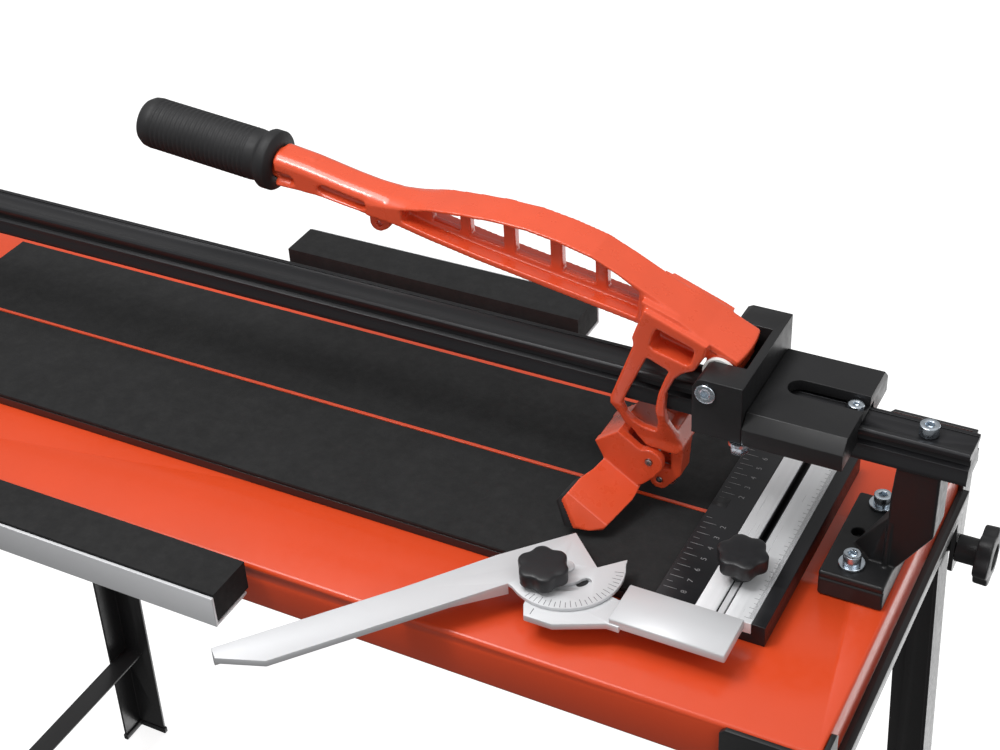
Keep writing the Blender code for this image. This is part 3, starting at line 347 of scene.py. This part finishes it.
def screw(node, base, axis, head=(6.5, 8.0), shank=(4.0, 20.0), washer=0.0, socket=6.0):
    """A zinc socket cap screw on base: head is (radius, height), shank is (radius, length)."""
    rings = [(0, -shank[1]), (shank[0] - 0.8, -shank[1]), (shank[0], -shank[1] + 0.8), (shank[0], 0)]
    start = 0.0
    if washer:
        thick = 2.0
        rings += [(washer - 0.2, 0), (washer, 0.2), (washer, thick - 0.3), (washer - 0.3, thick)]
        start = thick
    rings += cap_head(head[0], start + head[1], start, socket)
    from_bmesh(node + "_fine", lathe(rings), BODY_OF[node], "zinc", node, place=along(base, axis))


def star_knob(node, base, axis, radius, neck, shank, dished=False):
    """A moulded star knob: a flat-topped, lobed head over a turned neck with its screw.

    neck and shank are (radius, length); a dished head has a recess in its face."""
    low, high = neck[1], neck[1] + KNOB_HEAD
    depth = LOBE_DEPTH * radius
    rings = [(0, -shank[1]), (shank[0], -shank[1]), (shank[0], 0), (neck[0] - 0.6, 0), (neck[0], 0.6),
             (neck[0], low - 0.5), (neck[0] + 0.8, low), (lobes(radius * 0.94, depth), low),
             (lobes(radius * 0.975, depth), low + 0.5), (lobes(radius * 0.985, depth), low + 1.6),
             (lobes(radius, depth), high - 2.6), (lobes(radius * 0.99, depth), high - 1.7),
             (lobes(radius * 0.965, depth), high - 1.05), (lobes(radius * 0.93, depth), high - 0.7),
             (lobes(radius * 0.8, depth * 0.8), high - 0.35), (lobes(radius * 0.55, depth * 0.3), high - 0.1)]
    if dished:
        rings += [(radius * 0.5, high - 0.1), (radius * 0.47, high - 0.5), (radius * 0.44, high - 2.6),
                  (radius * 0.2, high - 3.0), (0, high - 3.0)]
    else:
        rings += [(radius * 0.25, high), (0, high)]
    from_bmesh(node + "_fine", lathe(rings, 96), BODY_OF[node], "plastic", node, smooth=28,
               place=along(base, axis))


# ---------------------------------------------------------------- base, tables and rail
def mirrored(x, end):
    return x if end == "right" else 2 * MID_X - x


def foam_sheet(node, crown=0.25, step=9.0, rim=1.2):
    """A foam pad: a closed sheet with soft edges and a faint unevenness on top."""
    low, high = local_box(node)
    size = high - low
    bm = box_shape((low.x, high.x), (low.y, high.y), (low.z, high.z))
    for axis in (0, 1, 2):
        count = max(1, int(size[axis] / step)) if size[axis] > 6 else 2
        edges = [e for e in bm.edges if abs((e.verts[0].co - e.verts[1].co)[axis]) > size[axis] * 0.9]
        bmesh.ops.subdivide_edges(bm, edges=edges, cuts=count, use_grid_fill=True)
    for vert in bm.verts:
        inset = [min(vert.co[a] - low[a], high[a] - vert.co[a]) for a in (0, 1, 2)]
        near = sum(1 for d in inset if d < 0.05)
        wobble = noise.noise(Vector((vert.co.x * 0.018, vert.co.y * 0.03, 0.7)))
        if near >= 2:
            centre = (low + high) / 2
            for a in (0, 1, 2):
                if inset[a] < 0.05:
                    vert.co[a] += (0.32 if vert.co[a] < centre[a] else -0.32) * rim
        elif high.z - vert.co.z < 0.05:
            vert.co.z -= crown * (0.5 + 0.5 * wobble)
    pad = from_bmesh(node + "_fine", bm, BODY_OF[node], "foam", node, smooth=60)


def build_base():
    machined("base_tray", bevel=0.25, segments=1, angle=50)
    machined("breaking_ridge", bevel=0.35)
    for side in ("front", "rear"):
        machined(f"{side}_table_plate", bevel=0.3)
        foam_sheet(f"{side}_table_pad")
    machined("guide_rail", bevel=0.35)
    for end in ("right", "left"):
        node = f"rail_stop_bolt_{end}"
        low, high = local_box(node)
        rings = [(0, -7), (3.2, -7), (4, -6.2), (4, 0), (6.5, 0), (6.8, 0.3)] + cap_head(6.8, 8.0, 0.5)[1:]
        from_bmesh(node + "_fine", lathe(rings), "base", "zinc", node,
                   place=along((mirrored(518.5, end), 0, high.z - 8.0), Z))
        cast(f"{end}_support", voxel=0.8, passes=4)
        for side, y in (("front", -23.0), ("rear", 48.0)):
            screw(f"support_screw_{end}_{side}", (mirrored(480.8, end), y, 10.3), Z, shank=(4.0, 30.0),
                  washer=9.5)


# ---------------------------------------------------------------- ruler and fence
def tick(x, y, z, thick=0.45):
    return box_shape(x, (y - thick / 2, y + thick / 2), (z, z + 0.06))


def numeral(text, centre, size, angle):
    """A flat number, as a mesh in the machine's millimetres."""
    curve = bpy.data.curves.new("numeral", "FONT")
    curve.body = text
    curve.size = size
    curve.align_x = "CENTER"
    curve.align_y = "CENTER"
    curve.extrude = 0.03
    obj = bpy.data.objects.new("numeral", curve)
    bpy.context.scene.collection.objects.link(obj)
    mesh = bpy.data.meshes.new_from_object(obj.evaluated_get(bpy.context.evaluated_depsgraph_get()))
    bm = bmesh.new()
    bm.from_mesh(mesh)
    bpy.data.meshes.remove(mesh)
    bpy.data.objects.remove(obj, do_unlink=True)
    bpy.data.curves.remove(curve)
    place = Matrix.Translation(centre) @ Matrix.Rotation(math.radians(angle), 4, "Z")
    bmesh.ops.transform(bm, matrix=place, verts=bm.verts)
    return bm


def build_ruler():
    machined("ruler_base", bevel=0.4)
    machined("ruler_rail", bevel=0.3)
    # Black walls and floor set inside the ruler rail's channel, making the channel dark.
    walls = [box_shape(x, (-104.5, 104.5), z) for x, z in
             (((410.3, 416.6), (-1.5, -1.1)), ((410.25, 410.6), (-1.5, 5.9)), ((416.3, 416.65), (-1.5, 5.9)))]
    from_bmesh("ruler_channel_darkening", merged(walls), "base", "black_anodised", smooth=0)
    top = 6.0
    # A very dark plate over the notch in the ruler's left edge: painted shade standing in for the notch's
    # recess.
    notch = box_shape((364.8, 376.5), (2.0, 12.5), (top, top + 0.08))
    from_bmesh("ruler_notch_shade", notch, "base", "rubber", smooth=0)
    marks = []
    step, edge = 12.5, 366.8          # between two numbers, and the end of every tick
    for sign in (-1, 1):
        for k in range(1, 8):
            y = sign * step * (k + 0.5)
            marks.append(tick((edge, 377.0), y, top))
            marks.append(tick((edge, 371.4), sign * step * k, top))
            marks.append(numeral(str(k + 1), (382.6, y - 0.5, top + 0.03), 6.2, 90))
    from_bmesh("ruler_scale_marks", merged(marks), "base", INK_WHITE, smooth=0)
    fine, fine_edge = [], 436.3
    for k in range(-100, 101):
        reach = 6.5 if k % 10 == 0 else 5.0 if k % 5 == 0 else 3.2
        fine.append(tick((fine_edge - reach, fine_edge), k, top, 0.28))
    from_bmesh("ruler_rail_marks", merged(fine), "base", INK_DARK, smooth=0)


FENCE_CORNER = Vector((291.2, -77.8, 0))
FENCE_ANGLE = math.radians(50.0)
FENCE_PIVOT = Vector((300.6, -114.0, 0))
FENCE_PLACE = Matrix.Translation(FENCE_CORNER) @ Matrix.Rotation(FENCE_ANGLE + math.pi, 4, "Z")


def build_fence():
    machined("fence_slider_block", bevel=0.5, angle=45)
    machined("fence_bar", bevel=0.3, angle=60)
    top = 15.0
    marks = []
    centre = FENCE_PLACE.inverted() @ FENCE_PIVOT
    for k in range(-11, 13):
        turn = math.radians(81 + 5.4 * k)
        inner = 36.4 if k % 2 else 34.8
        mark = box_shape((inner, 41.4), (-0.2, 0.2), (top, top + 0.06))
        place = Matrix.Translation((centre.x, centre.y, 0)) @ Matrix.Rotation(turn, 4, "Z")
        bmesh.ops.transform(mark, matrix=place, verts=mark.verts)
        marks.append(mark)
    from_bmesh("fence_angle_marks", merged(marks), "fence", INK_DARK, smooth=0, place=FENCE_PLACE)
    pointer = box_shape((296.7, 297.2), (-164.5, -158.5), (11.7, 11.78))
    from_bmesh("fence_angle_pointer", pointer, "fence_slider", INK_DARK, smooth=0)
    # A dark disc on the slider arm's top at the right end of the sector's slot: painted shade standing in for
    # the dark hole there.
    hole_shade_centre = (316.8, -121.4, 11.72)
    hole_shade = (Matrix.Translation(hole_shade_centre) @ Matrix.Rotation(math.radians(58), 4, "Z")
              @ Matrix.Diagonal((1.45, 0.85, 1.0, 1.0)))
    disc = [(0, 0), (3.4, 0), (3.4, 0.06), (0, 0.06)]
    from_bmesh("slider_arm_hole_shade", lathe(disc), "fence_slider", "rubber", place=hole_shade)
    pin = [(0, -8.5), (4, -8.5), (4, 0), (5.8, 0), (6.0, 0.2), (6.0, 0.6), (5.4, 1.2), (4.4, 1.5),
           (1.8, 1.5), (1.2, 1.1), (0, 1.0)]
    from_bmesh("fence_pivot_pin_fine", lathe(pin), "fence_slider", "cast_grey", "fence_pivot_pin",
               place=along((FENCE_PIVOT.x, FENCE_PIVOT.y, 15.3), Z))
    star_knob("fence_knob", (292.0, -132.6, 15.3), Z, 18.9, (9.0, 3.5), (3.0, 8.5))
    star_knob("ruler_knob", (413.45, -62.0, 7.3), Z, 18.9, (9.0, 10.0), (1.8, 7.5))


# ---------------------------------------------------------------- carriage and lever
def build_carriage():
    machined("carriage_body", bevel=0.45, segments=3, angle=40)
    machined("clevis_block", bevel=0.6, segments=3, angle=40)
    rings = [(0, -99), (3.4, -99), (4.2, -98.2), (4.2, 0), (7.3, 0), (7.4, 0.2), (7.4, 0.8), (7.1, 1.25),
             (6.6, 1.4), (3.9, 1.4), (hexagon(6.0), 1.0), (hexagon(6.0), -2.2), (0, -2.4)]
    from_bmesh("pivot_screw_fine", lathe(rings, 60), "carriage", "zinc", "pivot_screw",
               place=along((377.4, -49.8, 147.3), (0, -1, 0)))
    sleeve = [(4.6, 25.1), (8.1, 25.1), (8.5, 24.7), (8.5, 22.6), (7.0, 22.6), (7.0, -22.6), (12.3, -22.6),
              (12.3, -24.6), (11.8, -25.1), (4.6, -25.1)]
    from_bmesh("pivot_bush_fine", lathe(sleeve, 48, closed=True), "carriage", "nylon", "pivot_bush",
               place=along((377.4, 0, 147.3), Y))
    nut = [(3.0, 0), (hexagon(11.4), 0), (hexagon(12.0), 0.5), (hexagon(12.0), 6.6), (7.8, 6.8), (7.8, 9.5),
           (3.0, 9.5)]
    from_bmesh("clevis_clamp_nut", lathe(nut, closed=True), "carriage", "zinc",
               place=along((401, -44, 102.2), Z))
    from_bmesh("carriage_slot_strap", box_shape((459, 475), (-8.8, 8.8), (124.6, 126.1)), "carriage",
               "black_enamel", smooth=0)
    from_bmesh("carriage_slot_bolt", lathe([(0, 0)] + cap_head(5.6, 4.6, 0.0, 4.0, 2.4)), "carriage", "zinc",
               place=along((467, 2, 126.4), Z))
    for side, sign in (("front", -1), ("rear", 1)):
        for place, x in (("inner", 418.0), ("outer", 461.0)):
            node = f"guide_roller_{side}_{place}"
            rings = [(0, -7.0), (hexagon(6.4), -7.0), (hexagon(6.6), -6.6), (hexagon(6.6), -2.6),
                     (4.8, -2.6), (4.8, -2.0), (7.6, -2.0), (8.0, -1.6), (8.0, 1.8), (7.6, 2.2), (5.2, 2.2),
                     (5.2, 2.0), (3.0, 2.0), (3.0, 8.0), (0, 8.0)]
            from_bmesh(node + "_fine", lathe(rings), BODY_OF[node], "steel", node,
                       place=along((x, sign * 17.9, 115.0), Z))


GRIP_FRONT = Vector((14.0, 0, 222.5))
GRIP_SLOPE = math.radians(5.1)
GRIP_BACK = Vector((-math.cos(GRIP_SLOPE), 0, math.sin(GRIP_SLOPE)))


def grip_rings():
    """The grip from its front collar to its rounded end, with shallow ribs between."""
    rings = [(12.4, 112.0), (12.4, 0.0), (16.6, 0.0), (17.4, 0.6), (22.4, 2.2), (23.0, 3.2), (23.0, 9.8),
             (22.3, 11.2), (19.6, 13.4), (19.1, 16.0), (19.6, 20.0)]
    first, last, count = 24.0, 108.0, 21
    for i in range(count):
        place = first + (last - first) * i / (count - 1)
        rings += [(19.9, place - 1.3), (19.3, place - 0.7), (19.3, place + 0.7), (19.9, place + 1.3)]
    rings += [(20.0, 113.0), (19.4, 117.5), (17.2, 121.3), (13.0, 124.0), (7.0, 125.0), (0, 125.0)]
    return rings


def round_lever(obj):
    """Rounds the head's end in plan, and crowns the top of the neck between the grip and the flat beam."""
    head_start, head_low, head_half = 360.0, 140.0, 22.0
    neck_start, neck_end, neck_low, flat_half = 16.0, 150.0, 205.0, 6.0
    for vert in obj.data.vertices:
        point = local(vert.co)
        if point.z > head_low and point.x > head_start:
            vert.co.x -= 2.4 * MM * min(1.0, (point.x - head_start) / 26) * (point.y / head_half) ** 2
        fade = min(1.0, max(0.0, (neck_end - point.x) / 50.0))
        crown = max(0.0, abs(point.y) - flat_half) ** 2 * fade
        if crown and point.z > neck_low and point.x > neck_start:
            vert.co.z -= 0.07 * MM * crown * min(1.0, (point.z - neck_low) / 15.0)


def build_lever():
    round_lever(cast("lever_casting", voxel=0.9, passes=8))
    shape = lathe(grip_rings(), 64)
    from_bmesh("grip_fine", shape, "lever", "rubber", "grip", smooth=50, place=along(GRIP_FRONT, GRIP_BACK))
    for node, centre, half in (("wheel_axle", (327.0, 0, 25.0), 9.3), ("foot_pin", (323.0, 0, 47.8), 20.5)):
        radius = 2.5 if node == "wheel_axle" else 2.7
        socket = hexagon(2.4)
        rings = [(0, -half + 1.6), (socket, -half + 1.6), (socket, -half), (radius - 0.3, -half),
                 (radius, -half + 0.3), (radius, half - 0.3), (radius - 0.3, half), (socket, half),
                 (socket, half - 1.6), (0, half - 1.6)]
        from_bmesh(node + "_fine", lathe(rings), BODY_OF[node], "steel", node, place=along(centre, Y))
    wheel = [(2.9, -1.5), (6.0, -1.5), (9.0, -1.2), (10.9, -0.1), (11.0, 0), (10.9, 0.1), (9.0, 1.2),
             (6.0, 1.5), (2.9, 1.5)]
    from_bmesh("scoring_wheel_fine", lathe(wheel, 72, closed=True), "wheel", "steel", "scoring_wheel",
               place=along((327.0, 0, 25.0), Y))
    cast("breaker_foot", voxel=0.6, passes=5)
    for side in ("front", "rear"):
        machined(f"foot_sole_{side}", bevel=0.5)


# ---------------------------------------------------------------- side supports
def build_arm(side, sign):
    foam_sheet(f"{side}_arm_bar", crown=0.2, rim=1.6)
    machined(f"{side}_arm_trim", bevel=0.4)
    node = f"{side}_arm_guide_rod"
    low, high = local_box(node)
    radius = (high.z - low.z) / 2
    curve = bpy.data.curves.new("guide", "CURVE")
    curve.dimensions = "3D"
    curve.bevel_depth = radius * 0.99
    curve.bevel_resolution = 6
    curve.use_fill_caps = True
    ends = (low.x + radius, high.x - radius)
    near = 52.0
    far = max(abs(low.y), abs(high.y)) - 0.5
    bend = 11.0
    path = [(ends[0], far)]
    for centre, start in (((ends[0] + bend, near + bend), 180), ((ends[1] - bend, near + bend), 270)):
        for k in range(7):
            turn = math.radians(start + 15 * k)
            path.append((centre[0] + bend * math.cos(turn), centre[1] + bend * math.sin(turn)))
    path.append((ends[1], far))
    spline = curve.splines.new("POLY")
    spline.points.add(len(path) - 1)
    for point, (x, y) in zip(spline.points, path):
        point.co = (x, sign * y, (low.z + high.z) / 2, 1.0)
    obj = bpy.data.objects.new("guide", curve)
    bpy.context.scene.collection.objects.link(obj)
    mesh = bpy.data.meshes.new_from_object(obj.evaluated_get(bpy.context.evaluated_depsgraph_get()))
    bpy.data.objects.remove(obj, do_unlink=True)
    bm = bmesh.new()
    bm.from_mesh(mesh)
    bmesh.ops.remove_doubles(bm, verts=bm.verts, dist=0.01)
    bpy.data.meshes.remove(mesh)
    from_bmesh(node + "_fine", bm, BODY_OF[node], "zinc", node, smooth=50)


# ---------------------------------------------------------------- folding stand
def build_stand(end):
    way = 1 if end == "right" else -1
    machined(f"{end}_end_bracket", bevel=0.45)
    machined(f"{end}_leg_frame", bevel=0.5, segments=3)
    for side, sign in (("front", -1), ("rear", 1)):
        machined(f"foot_cap_{end}_{side}", bevel=1.2, segments=3)
        node = f"hinge_bolt_{end}_{side}"
        low, high = local_box(node)
        outer = high.y if sign > 0 else -low.y
        centre = ((low.x + high.x) / 2, sign * (outer - 4.0), (low.z + high.z) / 2)
        length = high.y - low.y
        rings = [(0, 4 - length), (3.4, 4 - length), (4.0, 4.6 - length), (4.0, -10.5),
                 (hexagon(12.6), -10.5), (hexagon(12.8), -10.2), (hexagon(12.8), -7.0), (4.4, -7.0),
                 (4.4, 0), (7.6, 0), (8.0, 0.3), (8.0, 0.9), (7.6, 1.2), (hexagon(12.8), 1.2),
                 (hexagon(12.8), 3.6), (5.6, 4.0), (0, 4.0)]
        from_bmesh(node + "_fine", lathe(rings), "base", "zinc", node, place=along(centre, (0, sign, 0)))
        node = f"lock_knob_{end}_{side}"
        low, high = local_box(node)
        reach = high.x - low.x
        base_x = high.x - 31.0 if end == "right" else low.x + 31.0
        base = (base_x, (low.y + high.y) / 2, (low.z + high.z) / 2)
        star_knob(node, base, (way, 0, 0), 25.0, (11.5, 18.0), (4.0, reach - 31.0), dished=True)


# ---------------------------------------------------------------- stage, light and camera
def build_stage():
    mesh = bpy.data.meshes.new("floor")
    bm = bmesh.new()
    bmesh.ops.create_circle(bm, cap_ends=True, segments=64, radius=14.0)
    bm.to_mesh(mesh)
    bm.free()
    floor = bpy.data.objects.new("floor", mesh)
    bpy.context.scene.collection.objects.link(floor)
    floor.location.z = -0.0005
    made, tree, shader = tree_of("pale_floor")
    shader.inputs["Base Color"].default_value = (0.4, 0.4, 0.4, 1)
    shader.inputs["Roughness"].default_value = 1.0
    shader.inputs["Specular IOR Level"].default_value = 0.0
    shader.inputs["Emission Color"].default_value = (1, 1, 1, 1)
    shader.inputs["Emission Strength"].default_value = 0.86
    mesh.materials.append(made)
    floor.visible_diffuse = False
    floor.visible_glossy = False


def area_light(name, place, target, size, power):
    light = bpy.data.lights.new(name, "AREA")
    light.shape = "DISK"
    light.size = size
    light.energy = power
    obj = bpy.data.objects.new(name, light)
    obj.location = place
    obj.rotation_euler = (Vector(target) - Vector(place)).to_track_quat("-Z", "Y").to_euler()
    bpy.context.scene.collection.objects.link(obj)


def build_light():
    """A studio: soft light from overhead, a white backdrop low behind the machine, and a dark front."""
    world = bpy.data.worlds.new("studio")
    bpy.context.scene.world = world
    world.use_nodes = True
    tree = world.node_tree
    back = tree.nodes["Background"]
    coords = tree.nodes.new("ShaderNodeTexCoord")
    split = tree.nodes.new("ShaderNodeSeparateXYZ")
    ramp = tree.nodes.new("ShaderNodeValToRGB")
    lift = tree.nodes.new("ShaderNodeMapRange")
    lift.inputs["From Min"].default_value = -1.0
    tree.links.new(coords.outputs["Generated"], split.inputs["Vector"])
    tree.links.new(split.outputs["Z"], lift.inputs["Value"])
    tree.links.new(lift.outputs["Result"], ramp.inputs["Fac"])
    stops = ((0.0, 0.20), (0.40, 0.22), (0.49, 0.70), (0.53, 0.70), (0.60, 0.45), (0.78, 0.45), (0.92, 0.9),
             (1.0, 0.9))
    while len(ramp.color_ramp.elements) < len(stops):
        ramp.color_ramp.elements.new(0.5)
    for element, (place, value) in zip(ramp.color_ramp.elements, stops):
        element.position = place
        element.color = (value, value, value, 1)
    toward = tree.nodes.new("ShaderNodeVectorMath")
    toward.operation = "DOT_PRODUCT"
    toward.inputs[1].default_value = Vector((0.40, 0.70, -0.59)).normalized()
    tree.links.new(coords.outputs["Generated"], toward.inputs[0])
    backdrop = tree.nodes.new("ShaderNodeMapRange")
    for name, number in (("From Min", 0.80), ("From Max", 0.95), ("To Max", 2.2)):
        backdrop.inputs[name].default_value = number
    tree.links.new(toward.outputs["Value"], backdrop.inputs["Value"])
    total = tree.nodes.new("ShaderNodeMath")
    tree.links.new(ramp.outputs["Color"], total.inputs[0])
    tree.links.new(backdrop.outputs["Result"], total.inputs[1])
    tree.links.new(total.outputs["Value"], back.inputs["Color"])
    back.inputs["Strength"].default_value = 0.78
    middle = (0.1, 0, 0.75)
    area_light("key", (-0.5, -0.5, 3.4), middle, 1.8, 45)
    area_light("fill", (2.4, -1.4, 2.6), middle, 1.8, 14)
    area_light("spark", (-0.6, -0.9, 3.0), middle, 0.42, 13)


def build_camera():
    azimuth, elevation, roll = math.radians(-29.46), math.radians(35.88), math.radians(-3.42)
    forward = Vector((math.sin(azimuth) * math.cos(elevation), math.cos(azimuth) * math.cos(elevation),
                      -math.sin(elevation)))
    right = Vector((math.cos(azimuth), -math.sin(azimuth), 0))
    up = right.cross(forward)
    side = right * math.cos(roll) + up * math.sin(roll)
    top = up * math.cos(roll) - right * math.sin(roll)
    matrix = Matrix((side, top, -forward)).transposed().to_4x4()
    matrix.translation = PLACE @ Vector((712.6, -922.2, 842.0))
    camera = bpy.data.cameras.new("camera")
    camera.sensor_width = 36.0
    camera.lens = 61.78
    camera.clip_end = 50.0
    obj = bpy.data.objects.new("camera", camera)
    obj.matrix_world = matrix
    bpy.context.scene.collection.objects.link(obj)
    bpy.context.scene.camera = obj


build_camera()
build_stage()
build_light()
build_base()
build_ruler()
build_fence()
build_carriage()
build_lever()
build_arm("front", -1)
build_arm("rear", 1)
for stand_end in ("right", "left"):
    build_stand(stand_end)
bpy.context.scene.view_settings.view_transform = "Standard"
